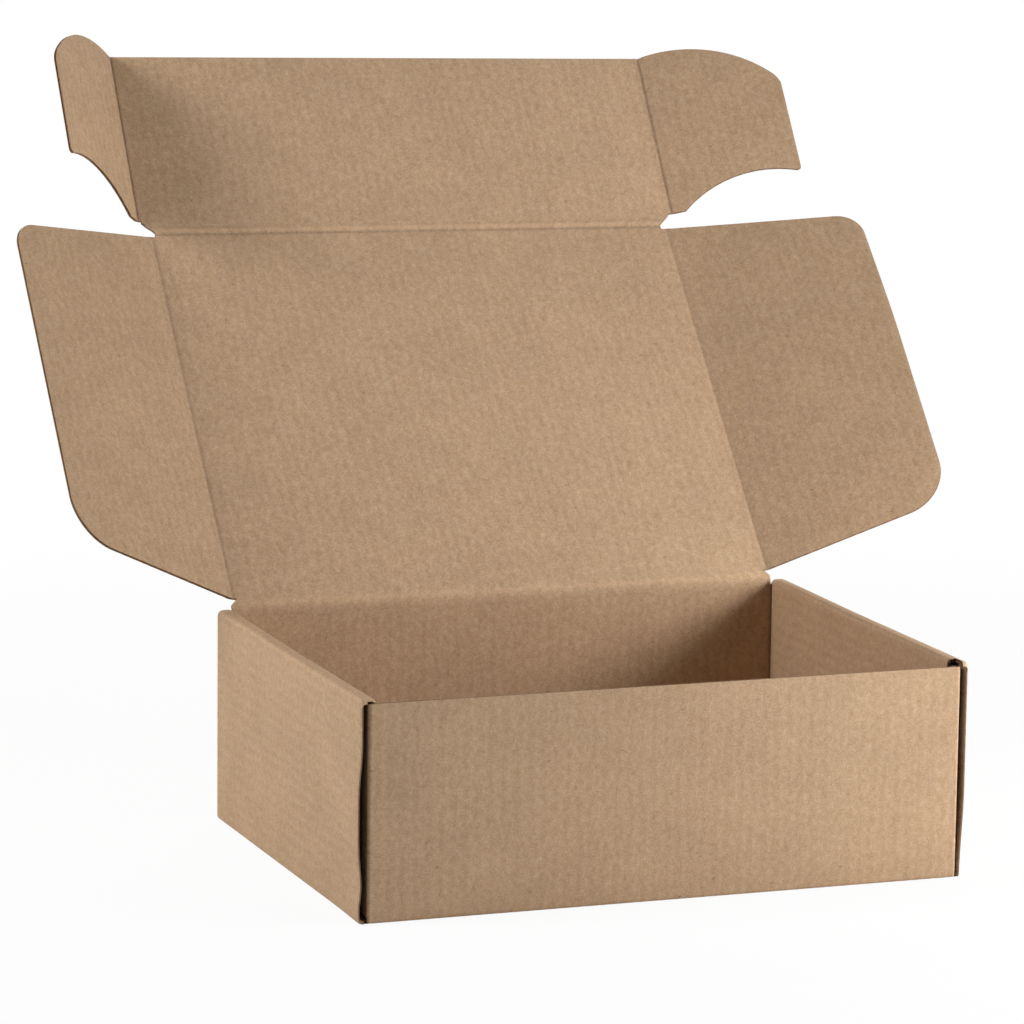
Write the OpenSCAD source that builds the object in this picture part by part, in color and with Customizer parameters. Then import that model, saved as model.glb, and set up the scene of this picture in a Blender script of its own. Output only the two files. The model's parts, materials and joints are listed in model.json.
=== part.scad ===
// Kraft mailer box: one die-cut sheet of corrugated board, folded into a tray with
// rolled double side walls and a hinged lid with two side flaps, a front flap and two ears.
// Millimetres, +Z up. The origin is the centre of the tray's underside and the front
// wall faces -Y. The lid stands open, as the box is photographed.

/* [Board] */
// Thickness of the corrugated board
board_t = 1.8; // [1.4:0.1:2.2]
// Clearance between plies that lie side by side
ply_gap = 0.2; // [0.15:0.05:0.4]
// Inside radius of a scored fold
fold_r = 0.6; // [0.4:0.1:1.2]
// Clearance between the round edge of a hinged panel and the panel that carries it
crease_gap = 0.25; // [0.2:0.05:0.4]

/* [Tray] */
// Width over the rolled side walls
tray_w = 320; // [260:1:400]
// Depth over the front and back walls
tray_d = 236; // [190:1:320]
// Height of the rolled side walls
tray_h = 111; // [90:1:150]
// How far the front wall ends below the tops of the side walls
front_drop = 2.5; // [2:0.5:6]
// Length of the flaps that turn in at the ends of the front and back walls
corner_flap_len = 84; // [50:1:88]
// How much a corner flap narrows towards its free end
corner_flap_taper = 9; // [2:1:20]
// Room left between a corner flap and the base
corner_flap_lift = 3; // [2.5:0.5:6]
// Distance from the front and back faces to the inner ply of a side wall
inner_ply_inset = 3.2; // [3:0.1:10]

/* [Lock tabs] */
// Length of a lock tab on the inner ply
tab_len = 36; // [20:1:50]
// Distance between the middles of the two lock tabs of a side wall
tab_pitch = 112; // [70:1:130]
// Clearance round a lock tab in its slot in the base
slot_gap = 0.4; // [0.3:0.1:0.8]

/* [Lid] */
// Angle of the lid above its closed position
lid_angle = 132; // [110:1:175]
// Room between the lid's side folds and the inner plies when the lid is closed
lid_side_gap = 0.3; // [0.2:0.1:1]

/* [Lid side flaps] */
// Angle of the left side flap out of the lid's plane
side_flap_left_angle = 31; // [5:1:60]
// Angle of the right side flap out of the lid's plane
side_flap_right_angle = 28; // [5:1:60]
// Room between the side flaps' long edges and the base when the box is closed
side_flap_floor_gap = 3.3; // [2:0.1:12]
// Distance from the lid's hinge to the start of a side flap
side_flap_back_start = 5; // [4:0.5:12]
// Distance from the front flap's crease to the end of a side flap
side_flap_front_gap = 2.6; // [2:0.1:6]
// How much a side flap narrows at its hinge end
side_flap_back_taper = 10; // [4:1:30]
// How much a side flap narrows at its front end
side_flap_front_taper = 28; // [8:1:40]
// Corner radius of a side flap at its hinge end
side_flap_back_r = 26; // [10:1:35]
// Corner radius of a side flap at its front end
side_flap_front_r = 18; // [10:1:35]

/* [Front flap] */
// Angle of the front flap out of the lid's plane
front_flap_angle = 8; // [2:1:40]
// Height of the front flap's free edge above the table when the box is closed
front_flap_lift = 4; // [3:0.5:12]
// Length of the slanted shoulder from the lid's crease to the ear's crease
front_flap_shoulder = 7.5; // [5:0.5:12]

/* [Ears] */
// Angle of the left ear out of the front flap's plane
ear_left_angle = 51; // [5:1:80]
// Angle of the right ear out of the front flap's plane
ear_right_angle = 24; // [5:1:80]
// Length of an ear from its crease to its outer edge
ear_len = 78; // [60:1:84]
// Radius of the bowed edge of an ear
ear_bow_r = 80; // [75:1:110]
// Distance from the ear's crease to the middle of the bowed edge's circle
ear_bow_offset = 14; // [5:1:20]
// Radius of the hollow edge of an ear
ear_notch_r = 65; // [55:1:90]
// Distance from the ear's crease to the deepest point of the hollow edge
ear_notch_offset = 51; // [35:1:60]
// Depth of the hollow edge, measured from the lid's crease
ear_notch_depth = 23.5; // [15:0.5:32]

/* [Hidden] */
$fn = 64;

// Length by which every cut runs past the material it removes
overrun = 1;

// The board's folds and round hinge edges
fold_out_r = fold_r + board_t;
bead_r = board_t / 2;
edge_back = bead_r + crease_gap;

// Plies of a rolled side wall, counted inwards from its outer face: outer ply, the open slit
// that takes the ear, corner flap and inner ply
ply_step = board_t + ply_gap;
corner_flap_in = 2 * ply_step;
ear_in = ply_step;
inner_ply_in = 3 * ply_step;
roll_w = inner_ply_in + board_t;

// Front and back walls, and the flaps at their ends
wall_h = tray_h - front_drop;
wall_half = tray_w / 2 - corner_flap_in;

// Hinge of the lid, in the middle of the back wall's thickness
hinge_y = tray_d / 2 - bead_r;
hinge_z = tray_h + ply_gap + bead_r;
back_wall_h = hinge_z - edge_back;

// Lid, between the creases of its flaps. It is long enough for the front flap to close over
// the outside of the front wall, with the ears in the open slits of the side walls
lid_half = tray_w / 2 - roll_w - lid_side_gap - bead_r;
lid_len = tray_d + ply_gap;
panel_half = lid_half - edge_back;

// Flaps of the lid, each measured from its crease
side_flap_w = hinge_z - board_t - side_flap_floor_gap;
side_flap_front = lid_len - side_flap_front_gap;
front_flap_len = hinge_z - front_flap_lift;
front_flap_half = tray_w / 2 - ear_in - bead_r;
front_flap_edge = front_flap_half - edge_back;

kraft = "#b3926d";
kraft_inside = "#a9875f";

// Rounded outlines

function unit_of(v) = v / norm(v);
function half_angle(p, i) =
    let (n = len(p), a = p[(i + n - 1) % n] - p[i], b = p[(i + 1) % n] - p[i])
    acos(unit_of(a) * unit_of(b)) / 2;
function towards(p, i, j) = unit_of(p[j % len(p)] - p[i]);

// Points where the arc of radius r at corner i meets the two sides, or the corner itself
function corner_points(p, i, r) =
    r == 0 ? [p[i]] :
    let (d = r / tan(half_angle(p, i)))
    [p[i] + d * towards(p, i, i + len(p) - 1), p[i] + d * towards(p, i, i + 1)];
function arc_centre(p, i, r) =
    p[i] + r / sin(half_angle(p, i))
        * unit_of(towards(p, i, i + len(p) - 1) + towards(p, i, i + 1));

// Convex outline with an arc of radius radii[i] at corner i
module rounded_outline(points, radii) {
    polygon([for (i = [0 : len(points) - 1]) each corner_points(points, i, radii[i])]);
    for (i = [0 : len(points) - 1])
        if (radii[i] > 0)
            translate(arc_centre(points, i, radii[i])) circle(r = radii[i]);
}

// Rectangle from the origin, with the corners named in round_at rounded:
// 0 lower left, 1 lower right, 2 upper right, 3 upper left
module rounded_box(w, h, r, round_at) {
    rounded_outline([[0, 0], [w, 0], [w, h], [0, h]],
                    [for (i = [0 : 3]) len(search(i, round_at)) > 0 ? r : 0]);
}

// Placement

// The right-hand piece, or its mirror image on the left
module on_side(side) {
    mirror([side < 0 ? 1 : 0, 0, 0]) children();
}

// Lid frame: +Y runs from the hinge to the lid's front, +Z towards the inside
module on_lid() {
    translate([0, hinge_y, hinge_z]) rotate([180 - lid_angle, 0, 0]) children();
}

// Front flap frame: +Y runs from the lid's crease to the free edge
module on_front_flap() {
    on_lid() translate([0, lid_len, 0]) rotate([front_flap_angle, 0, 0]) children();
}

// Frame of a flap folded about +Y at the distance reach from the middle; +X runs outwards
module folded_out(reach, fold) {
    translate([reach, 0, 0]) rotate([0, -fold, 0]) children();
}

// Board of the outline, centred on the fold plane
module board() {
    translate([0, 0, -board_t / 2]) linear_extrude(board_t) children();
}

// Round edge of a hinged panel along +Y
module bead(start, end) {
    translate([0, start, 0]) rotate([-90, 0, 0]) cylinder(r = bead_r, h = end - start);
}

// Tray

// Front wall, base and back wall, folded from one strip
module wall_strip() {
    rotate([90, 0, 90])
        linear_extrude(2 * (wall_half - fold_out_r), center = true)
            translate([-tray_d / 2, 0])
                difference() {
                    rounded_box(tray_d, wall_h, fold_out_r, [0, 1]);
                    translate([board_t, board_t])
                        rounded_box(tray_d - 2 * board_t, wall_h, fold_r, [0, 1]);
                }
}

// Upper edge of the back wall, which carries the lid
module hinge_rail() {
    translate([-panel_half, hinge_y - bead_r, wall_h - overrun])
        cube([2 * panel_half, board_t, back_wall_h - wall_h + overrun]);
}

// End fold of the right-hand front wall with its corner flap, seen from above
module corner_fold_outline() {
    translate([wall_half - fold_out_r, fold_out_r]) {
        intersection() {
            difference() {
                circle(r = fold_out_r);
                circle(r = fold_r);
            }
            translate([0, -fold_out_r]) square(fold_out_r);
        }
        translate([fold_r, 0]) square([board_t, corner_flap_len - fold_out_r]);
    }
}

// Side view of a corner flap, which narrows towards its free end
module corner_flap_side() {
    polygon([[0, corner_flap_lift], [corner_flap_len, corner_flap_lift + corner_flap_taper],
             [corner_flap_len, wall_h - corner_flap_taper], [0, wall_h]]);
}

// Flap at the right-hand end of the front wall
module corner_flap() {
    translate([0, -tray_d / 2, 0])
        intersection() {
            linear_extrude(wall_h) corner_fold_outline();
            rotate([90, 0, 90]) linear_extrude(tray_w / 2) corner_flap_side();
        }
}

// Section of a rolled side wall: up from the base, over the top and down inside
module roll_section() {
    difference() {
        rounded_box(roll_w, tray_h, fold_out_r, [1, 2, 3]);
        translate([board_t, board_t])
            rounded_box(roll_w - 2 * board_t, tray_h - 2 * board_t, fold_r, [1, 2, 3]);
        translate([-overrun, board_t]) square([board_t + 2 * overrun, ply_gap]);
    }
}

// Right-hand side wall, with its inner ply ending short of the front and back walls
module rolled_wall() {
    difference() {
        translate([tray_w / 2 - roll_w, tray_d / 2, 0])
            rotate([90, 0, 0]) linear_extrude(tray_d) roll_section();
        for (end = [-1, 1])
            translate([tray_w / 2 - roll_w - overrun,
                       end * (tray_d / 2 - inner_ply_inset / 2) - (inner_ply_inset / 2 + overrun),
                       board_t])
                cube([board_t + 2 * overrun - fold_r, inner_ply_inset + 2 * overrun,
                      tray_h - board_t - fold_out_r]);
    }
}

// One child at each lock tab of the right-hand side wall
module at_tabs() {
    for (end = [-1, 1])
        translate([tray_w / 2 - inner_ply_in - board_t / 2, end * tab_pitch / 2, 0]) children();
}

module lock_tab() {
    translate([-board_t / 2, -tab_len / 2, ply_gap])
        cube([board_t, tab_len, board_t + ply_gap]);
}

module tab_slot() {
    translate([-board_t / 2 - slot_gap, -tab_len / 2 - slot_gap, -overrun])
        cube([board_t + 2 * slot_gap, tab_len + 2 * slot_gap, board_t + overrun + ply_gap / 2]);
}

module tray() {
    color(kraft) {
        difference() {
            union() {
                wall_strip();
                hinge_rail();
                for (side = [-1, 1])
                    on_side(side) {
                        rolled_wall();
                        corner_flap();
                        mirror([0, 1, 0]) corner_flap();
                    }
            }
            for (side = [-1, 1]) on_side(side) at_tabs() tab_slot();
        }
        for (side = [-1, 1]) on_side(side) at_tabs() lock_tab();
    }
}

// Lid and its flaps

module lid() {
    color(kraft_inside)
        on_lid() {
            board()
                translate([-panel_half, 0]) square([2 * panel_half, lid_len - edge_back]);
            rotate([0, 0, -90]) bead(-panel_half, panel_half);
        }
}

module side_flap_outline() {
    rounded_outline(
        [[0, side_flap_back_start], [side_flap_w, side_flap_back_start + side_flap_back_taper],
         [side_flap_w, side_flap_front - side_flap_front_taper], [0, side_flap_front]],
        [0, side_flap_back_r, side_flap_front_r, 0]);
}

module side_flap(side, fold) {
    color(kraft_inside)
        on_lid() on_side(side) folded_out(lid_half, fold) {
            board() side_flap_outline();
            bead(side_flap_back_start, side_flap_front);
        }
}

module side_flap_left() { side_flap(-1, side_flap_left_angle); }
module side_flap_right() { side_flap(1, side_flap_right_angle); }

module front_flap_outline() {
    polygon([[panel_half, 0], [front_flap_edge, front_flap_shoulder],
             [front_flap_edge, front_flap_len], [-front_flap_edge, front_flap_len],
             [-front_flap_edge, front_flap_shoulder], [-panel_half, 0]]);
}

module front_flap() {
    color(kraft_inside)
        on_front_flap() {
            board() front_flap_outline();
            rotate([0, 0, -90]) bead(-panel_half, panel_half);
        }
}

// Ear: bowed at the front flap's free edge and hollowed towards the lid
module ear_outline() {
    bow_y = front_flap_len - sqrt(ear_bow_r * ear_bow_r - ear_bow_offset * ear_bow_offset);
    difference() {
        intersection() {
            translate([ear_bow_offset, bow_y]) circle(r = ear_bow_r);
            translate([0, front_flap_shoulder]) square([ear_len, front_flap_len]);
        }
        translate([ear_notch_offset, ear_notch_depth - ear_notch_r]) circle(r = ear_notch_r);
    }
}

module ear(side, fold) {
    color(kraft_inside)
        on_front_flap() on_side(side) folded_out(front_flap_half, fold) {
            board() ear_outline();
            bead(front_flap_shoulder, front_flap_len);
        }
}

module ear_left() { ear(-1, ear_left_angle); }
module ear_right() { ear(1, ear_right_angle); }

tray();
lid();
side_flap_left();
side_flap_right();
front_flap();
ear_left();
ear_right();
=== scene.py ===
"""Open mailer box of brown corrugated board, folded from one sheet: the board with its fluting and
liners, the pressed creases, the kraft paper and a white stage, laid over the packed frame."""

import json
import math
from collections import namedtuple

import bpy
import numpy as np
from bpy.props import FloatProperty, FloatVectorProperty, IntProperty, PointerProperty
from bpy.types import Operator, Panel, PropertyGroup
from mathutils import Euler, Matrix, Vector


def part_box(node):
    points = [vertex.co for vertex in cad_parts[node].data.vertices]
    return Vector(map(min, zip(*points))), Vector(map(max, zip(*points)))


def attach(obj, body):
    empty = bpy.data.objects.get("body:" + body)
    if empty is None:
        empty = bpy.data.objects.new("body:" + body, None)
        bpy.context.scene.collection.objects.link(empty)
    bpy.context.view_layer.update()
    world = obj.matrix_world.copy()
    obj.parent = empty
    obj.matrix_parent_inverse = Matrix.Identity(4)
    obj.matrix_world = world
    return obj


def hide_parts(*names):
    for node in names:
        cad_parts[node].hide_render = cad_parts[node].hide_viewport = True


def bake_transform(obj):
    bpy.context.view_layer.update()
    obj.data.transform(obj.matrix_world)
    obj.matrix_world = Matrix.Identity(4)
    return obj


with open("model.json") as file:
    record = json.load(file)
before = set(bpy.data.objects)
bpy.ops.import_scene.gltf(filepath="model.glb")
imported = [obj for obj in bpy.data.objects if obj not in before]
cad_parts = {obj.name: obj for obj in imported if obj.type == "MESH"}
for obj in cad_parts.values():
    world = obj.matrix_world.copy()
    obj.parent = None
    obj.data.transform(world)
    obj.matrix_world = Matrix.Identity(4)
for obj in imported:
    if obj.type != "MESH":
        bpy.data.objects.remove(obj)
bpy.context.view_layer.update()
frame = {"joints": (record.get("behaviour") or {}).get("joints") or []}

bl_info = {
    "name": "Kraft mailer box",
    "version": (1, 0, 0),
    "blender": (4, 5, 0),
    "location": "3D View > Sidebar > Mailer box",
    "description": "Corrugated mailer box with its creases, kraft paper and studio stage",
    "category": "Object",
}

# Places taken from the frame: the tray's box, the fold axes and the angles that the folds rest at

MM = 0.001
TRAY_LOW, TRAY_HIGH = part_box("tray")
JOINTS = {joint["name"]: joint for joint in frame["joints"]}
ACROSS = np.array([1.0, 0.0, 0.0])
LID_RUN = np.array(JOINTS["side_flap_left_crease"]["axis"])
LID_IN = np.cross(ACROSS, LID_RUN)
FRONT_RUN = np.array(JOINTS["ear_left_crease"]["axis"])
FRONT_IN = np.cross(ACROSS, FRONT_RUN)
HINGE = np.array(JOINTS["lid_hinge"]["pos_m"])
FRONT_CREASE = np.array(JOINTS["front_flap_crease"]["pos_m"])
LID_LENGTH = float(np.linalg.norm(FRONT_CREASE - HINGE))
LID_HALF = JOINTS["side_flap_right_crease"]["pos_m"][0]
FRONT_HALF = JOINTS["ear_right_crease"]["pos_m"][0]
SIDES = {"left": -1, "right": 1}

Plane = namedtuple("Plane", "origin out run inside")


def side_plane(joint, side, run, inside):
    """Plane of a flap on the left or right of its panel; its joint's lower limit is the flat flap."""
    angle = math.radians(-JOINTS[joint]["range_deg"][0])
    out = side * math.cos(angle) * ACROSS + math.sin(angle) * inside
    turned = math.cos(angle) * inside - side * math.sin(angle) * ACROSS
    return Plane(np.array(JOINTS[joint]["pos_m"]), out, run, turned)


def on_plane(plane, out, run):
    """Points at distances out and along a panel."""
    out, run = np.broadcast_arrays(out, run)
    return plane.origin + out[..., None] * plane.out + run[..., None] * plane.run


def warped(points, twist):
    """Points of the lid and its flaps, turned a little more the further they are from the hinge."""
    from_hinge = np.maximum((points - HINGE) @ LID_RUN, 0.0)
    lift = np.sin(twist * from_hinge / LID_LENGTH) * points[..., 0]
    return points + lift[..., None] * LID_IN


LID_PLANE = Plane(HINGE, ACROSS, LID_RUN, LID_IN)
FRONT_PLANE = Plane(FRONT_CREASE, ACROSS, FRONT_RUN, FRONT_IN)


# Settings

def size_mm(name, description, default):
    """Setting for a size that is given in millimetres."""
    return FloatProperty(name=name, description=description, default=default * MM, unit="LENGTH", precision=5)


def factor(name, description, default, most=1.0):
    """Setting for a share or a strength."""
    return FloatProperty(name=name, description=description, default=default, subtype="FACTOR", min=0.0,
                         max=most)


def tint(name, description, default):
    """Setting for a colour."""
    return FloatVectorProperty(name=name, description=description, default=default, subtype="COLOR", size=3)


def watts(name, description, default):
    """Setting for a lamp's power."""
    return FloatProperty(name=name, description=description, default=default, subtype="POWER", unit="POWER")


class MailerBoardSettings(PropertyGroup):
    """The corrugated board."""
    thickness: size_mm("Thickness", "Board from liner to liner", 1.8)
    pitch: size_mm("Flute pitch", "Distance from one flute to the next", 6.5)
    liner: size_mm("Liner", "Thickness of the flat papers", 0.3)
    fluting: size_mm("Fluting", "Thickness of the waved paper", 0.24)
    washboard: size_mm("Washboard", "Sag of the liners between the flutes", 0.027)
    columns: IntProperty(name="Columns", description="Mesh columns in one flute", default=8, min=4)
    crush: factor("Edge crush", "Share of its thickness that a cut edge loses", 0.16, 0.6)
    crush_width: size_mm("Crush width", "Width of the pressed cut edge", 1.0)


class MailerTraySettings(PropertyGroup):
    """The tray's folds, plies and tabs."""
    front_drop: size_mm("Front drop", "Front wall below the side walls", 2.5)
    fold: size_mm("Fold radius", "Radius of the board's middle at a fold", 1.5)
    ply_step: size_mm("Ply step", "From one ply of a side wall to the next", 2.0)
    corner_fold: size_mm("Corner fold", "Radius of the board's middle at a corner", 0.7)
    flap_length: size_mm("Corner flap", "Length of a trapped corner flap", 84)
    flap_taper: size_mm("Corner flap taper", "Taper at each long edge", 9)
    seam: size_mm("Corner seam", "Flat board between a wall's end and its fold", 0.8)
    flap_low: size_mm("Corner flap foot", "Corner flap's fold above the floor", 0.5)
    flap_lift: size_mm("Corner flap lift", "Corner flap above the floor", 2.4)
    # Painted shade: how far the trapped corner flaps' board is darkened where it is seen down the slits
    flap_slit_painted_shade: FloatProperty(name="Slit dark", description="Darkening of the board inside the slits",
                             default=3.0, min=0.0)
    # Painted shade: darkening of the rolled walls' faces inside the roll, which are seen only down the slits
    wall_slit_painted_shade: factor("Slit shade", "Shade of a rolled wall's face in its slit", 0.5)
    ply_inset: size_mm("Inner ply inset", "Inner ply short of the wall faces", 3.2)
    tab_length: size_mm("Lock tab", "Length of a lock tab", 36)
    tab_pitch: size_mm("Tab pitch", "Distance between a wall's lock tabs", 112)
    slot_gap: size_mm("Slot gap", "Room around a tab in its slot", 0.4)
    back_round: size_mm("Back corner", "Rounding of a side wall's back top corner", 4.0)
    front_round: size_mm("Front corner", "Rounding of a side wall's front top corner", 1.6)
    round_reach: size_mm("Corner reach", "How far down a rounded corner is felt", 24)
    bow: size_mm("Bow", "Outward bow of the left wall's front end", 1.7)
    bow_reach: size_mm("Bow reach", "How far back a bent front end is felt", 24)
    lean: size_mm("Lean", "Inward lean of the right wall's front end at its foot", 1.6)
    lean_height: size_mm("Lean height", "Height over which that lean fades", 46)
    back_rise: size_mm("Back rise", "Rise of a side wall towards its back", 0.8)
    rise_reach: size_mm("Rise reach", "Length over which a side wall rises", 120)
    left_cut: size_mm("Left cut", "Left roll's inner half short of the front", 0.6)
    right_cut: size_mm("Right cut", "Right roll's inner half short of the front", 9.0)
    end_crush: factor("End crush", "Share of thickness lost at a side wall's ends", 0.5, 0.6)


class MailerFlapSettings(PropertyGroup):
    """Outlines of the lid's flaps."""
    side_width: size_mm("Side flap", "Width of a side flap from its crease", 107)
    side_start: size_mm("Side flap start", "Side flap's start from the hinge", 5)
    side_end: size_mm("Side flap end", "Side flap's end before the lid's front", 2.6)
    back_taper: size_mm("Back taper", "Side flap's narrowing at the hinge end", 10)
    front_taper: size_mm("Front taper", "Side flap's narrowing at the front end", 28)
    back_round: size_mm("Back corner", "Corner radius at the hinge end", 26)
    front_round: size_mm("Front corner", "Corner radius at the front end", 18)
    front_length: size_mm("Front flap", "Length of the front flap", 108.1)
    shoulder: size_mm("Shoulder", "Length of the front flap's sloped shoulder", 7.5)
    ear_length: size_mm("Ear", "Length of an ear from its crease", 78)
    bow_radius: size_mm("Ear bow", "Radius of an ear's bowed free edge", 80)
    bow_out: size_mm("Bow centre", "Centre of the bow, out from the crease", 14)
    notch_radius: size_mm("Ear hollow", "Radius of an ear's hollow edge", 65)
    notch_out: size_mm("Hollow centre", "Centre of the hollow, out from the crease", 51)
    notch_depth: size_mm("Hollow depth", "Top of the hollow from the lid's crease", 23.5)
    ear_round: size_mm("Ear corners", "Radius of an ear's two outer corners", 3.5)
    ear_dip: size_mm("Left ear dip", "Wear of the left ear's top at its outer end", 1.2)
    ear_gap: size_mm("Ear gap", "From the end of the shoulder to the ear's crease", 1.15)
    settle_start: size_mm("Settled length", "Right side flap without warp up to here", 120)
    settle_fade: size_mm("Settled fade", "Length over which its warp comes back", 80)
    settle_rate: FloatProperty(name="Settling rate", description="How soon the warp ends across the flap",
                               default=2.6, min=1.0)
    warp: FloatProperty(name="Lid warp", description="Twist of the lid from its hinge to its front crease",
                        default=math.radians(-1.09), subtype="ANGLE")


class MailerCreaseSettings(PropertyGroup):
    """The pressed score lines at the folds that move."""
    hinge_reach: size_mm("Hinge reach", "Half width of the lid's hinge strip", 5.0)
    hinge_ends: size_mm("Hinge ends", "Hinge strip past the side flaps' creases", 3.8)
    front_reach: size_mm("Front reach", "Half width of the front flap's crease", 5.0)
    side_reach: size_mm("Side reach", "Half width of a side flap's crease", 3.0)
    ear_reach: size_mm("Ear reach", "Half width of an ear's crease", 2.4)
    bead: size_mm("Bead", "Height of the pressed-up bead on the front flap's crease", 0.45)
    side_groove: size_mm("Side groove", "Depth of a side flap's score", 0.3)
    ear_groove: size_mm("Ear groove", "Depth of an ear's score", 0.6)
    groove_width: size_mm("Groove width", "Half width of a score", 0.95)
    outer: size_mm("Outer press", "Flattening of the fold's outer side", 0.25)
    margin: size_mm("Overlap", "How far a crease runs into its panels", 0.15)


class MailerPaperSettings(PropertyGroup):
    """The kraft paper."""
    liner: tint("Liner", "Colour of the flat kraft papers", (0.497, 0.335, 0.206))
    fluting: tint("Fluting", "Colour of the waved paper", (0.26, 0.15, 0.082))
    # Painted shade: the cut edges are coloured far darker than the paper, standing in for the shaded flute
    # openings at the board's ends
    cut: tint("Cut edge", "Colour of the cut paper edges", (0.25, 0.152, 0.088))
    mottle: factor("Mottle", "Strength of the cloudy shade", 0.24)
    grain: factor("Grain", "Strength of the fine grain", 0.74)
    specks: factor("Specks", "Strength of the dark specks", 0.42)
    fibres: factor("Fibres", "Strength of the pale fibres", 0.14)
    # The flute stripes are partly faint lines in the paper over the flutes and partly painted shade of the
    # liner's sag between them
    stripe: factor("Flute stripe", "Strength of the flutes' shade", 0.05)


class MailerStageSettings(PropertyGroup):
    """The floor, lamps and camera."""
    floor: tint("Floor", "Colour of the floor", (0.9, 0.9, 0.9))
    floor_white: factor("Floor white", "Share of plain white seen on the floor", 0.93)
    floor_near: FloatProperty(name="Shadow near", description="Where the floor begins to turn plain white",
                              default=0.35, unit="LENGTH")
    floor_far: FloatProperty(name="Shadow far", description="Where the floor is plain white",
                             default=1.1, unit="LENGTH")
    sky: FloatProperty(name="Sky", description="Strength of the even light all around", default=0.04)
    key: watts("Key", "Power of the lamp at the right", 6.2)
    front: watts("Front", "Power of the lamp near the right front corner", 1.75)
    low_right: watts("Low right", "Power of the low lamp at the right", 1.85)
    left: watts("Left", "Power of the lamp high on the left", 7.2)
    low_left: watts("Low left", "Power of the low lamp at the left", 1.1)
    back: watts("Back", "Power of the soft lamp behind the box", 14.0)
    lens: FloatProperty(name="Lens", description="Focal length on a 36 mm sensor", default=178.303,
                        unit="CAMERA")
    shift: FloatVectorProperty(name="Shift", description="Camera shift", default=(-0.1445, 0.0670), size=2)
    camera_place: FloatVectorProperty(name="Camera place", description="Where the camera stands",
                                      default=(-0.91528, -2.36694, 0.60902), subtype="TRANSLATION",
                                      unit="LENGTH", size=3)
    camera_turn: FloatVectorProperty(name="Camera turn", description="How the camera is turned",
                                     default=(math.radians(79.5284), math.radians(-1.003),
                                              math.radians(-21.7993)), subtype="EULER", size=3)


# Node wiring

class Wiring:
    """Adds nodes to a tree and links them, taking sockets or plain values as inputs."""

    def __init__(self, tree):
        self.tree = tree

    def feed(self, socket, value):
        if isinstance(value, bpy.types.NodeSocket):
            self.tree.links.new(value, socket)
        elif value is not None:
            socket.default_value = value

    def node(self, kind, inputs=None, **settings):
        node = self.tree.nodes.new(kind)
        for name, value in settings.items():
            setattr(node, name, value)
        for name, value in (inputs or {}).items():
            self.feed(node.inputs[name], value)
        return node

    def math(self, operation, *values, clamp=False):
        node = self.node("ShaderNodeMath", dict(enumerate(values)), operation=operation, use_clamp=clamp)
        return node.outputs[0]

    def plus(self, first, second):
        return self.math("ADD", first, second)

    def minus(self, first, second):
        return self.math("SUBTRACT", first, second)

    def times(self, first, second):
        return self.math("MULTIPLY", first, second)

    def ramp(self, value, low, high):
        node = self.node("ShaderNodeMapRange", {"Value": value, "From Min": low, "From Max": high},
                         interpolation_type="SMOOTHSTEP")
        return node.outputs["Result"]


def fresh_wiring(owner):
    """Wiring of a material's or world's node tree, with its first nodes taken out."""
    owner.use_nodes = True
    owner.node_tree.nodes.clear()
    return Wiring(owner.node_tree)


def add_sockets(tree, way, kind, *labels):
    for label in labels:
        tree.interface.new_socket(label, in_out=way, socket_type=kind)


# Kraft paper: patterns are in millimetres along a panel's flutes and run

Noise = namedtuple("Noise", "scale detail stretch")
Flecks = namedtuple("Flecks", "scale share radius stretch turn")
EVEN = (1.0, 1.0, 1.0)
CLOUDS = Noise(0.035, 3.0, EVEN)
PATCHES = Noise(0.34, 3.0, (1.2, 0.8, 1.0))
GRAIN = Noise(1.15, 2.0, EVEN)
FLUTE_WANDER = Noise(0.05, 2.0, (1.0, 0.6, 1.0))
FLUTE_BREAKS = Noise(0.08, 2.0, (1.5, 0.5, 1.0))
SLIVERS = (Flecks(0.20, 0.42, 0.24, (1.0, 3.0, 1.0), 0.7),
           Flecks(0.20, 0.30, 0.24, (1.0, 3.0, 1.0), -0.9))
CHIPS = Flecks(0.11, 0.24, 0.15, (1.0, 2.8, 1.0), 0.4)
DUST = Flecks(0.75, 0.16, 0.26, EVEN, 0.0)
PALE_FIBRES = Flecks(0.30, 0.14, 0.26, (0.8, 1.6, 1.0), 1.2)
NOISE_ROUGHNESS = 0.55
FLECK_EDGE = 0.5
LAYER_SPACING = 37.0
INSIDE_LAYER, OUTSIDE_LAYER, FLUTING_LAYER = 1, 2, 3
WANDER_SWING = 6.0
PATCH_SHARE = 1.6
DUST_SHARE, SLIVER_SHARE = 0.5, 0.6
# Strengths of the painted shade along the creases, and of the attribute that holds pale wear together with
# painted light
CREASE_PAINTED_SHADE, PALE_WEAR_AND_LIGHT = 0.38, 0.16
PATCH_WARMTH = -0.25
PAPER_ROUGHNESS, ROUGHNESS_SWING = 0.86, 0.16
GRAIN_HEIGHT, FIBRE_HEIGHT = 0.6, 0.5
PAPER_SPECULAR = 0.22
BUMP_DEPTH = 0.1 * MM
Finish = namedtuple("Finish", "strength bump")
LINER_FINISH, FLUTING_FINISH, CUT_FINISH = Finish(1.0, 0.35), Finish(0.6, 0.2), Finish(1.3, 0.5)


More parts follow.
